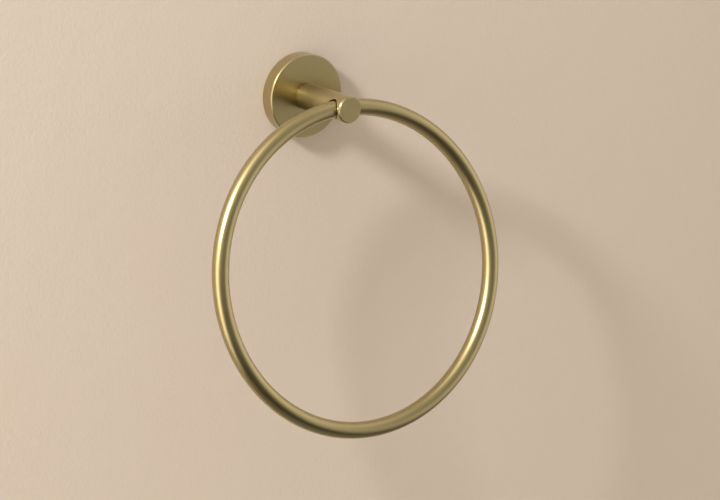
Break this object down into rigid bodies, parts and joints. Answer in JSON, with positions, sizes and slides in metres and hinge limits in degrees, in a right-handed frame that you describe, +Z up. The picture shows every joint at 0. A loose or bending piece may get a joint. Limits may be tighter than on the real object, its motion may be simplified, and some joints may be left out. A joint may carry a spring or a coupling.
{
  "type": "towel ring",
  "caption": "Wall-mounted towel ring: a round plate and straight post in satin brass hold a large ring of round tube that swings in a cross hole and keeps its angle by friction.",
  "frame": {"origin": "where the post's axis meets the wall, midway between the two wall screws", "axes": "+Z up, +X to the right as seen from the room, -Y out of the wall along the post"},
  "size_m": [0.2, 0.0871, 0.2169],
  "materials": {
    "satin_brass": "satin, finely brushed and lacquered",
    "plain_brass": "turned",
    "plated_steel": "turned and zinc plated",
    "stainless": "machined"
  },
  "bodies": {
    "wall_unit": {"wall_bracket": "plated_steel", "cover_plate": "satin_brass", "cover_grub_screw": "stainless", "post": "satin_brass", "post_screw": "stainless", "spring_washer": "stainless", "locating_pin": "stainless", "ring_screw": "stainless"},
    "ring": {"ring_tube": "satin_brass", "ring_spigot": "plain_brass"}
  },
  "joints": [
    {"name": "ring_swing", "type": "hinge", "parent": "wall_unit", "child": "ring", "pos_m": [0, -0.0475, -0.0001], "axis": [-1, 0, 0], "range_deg": [-23, 182]}
  ]
}
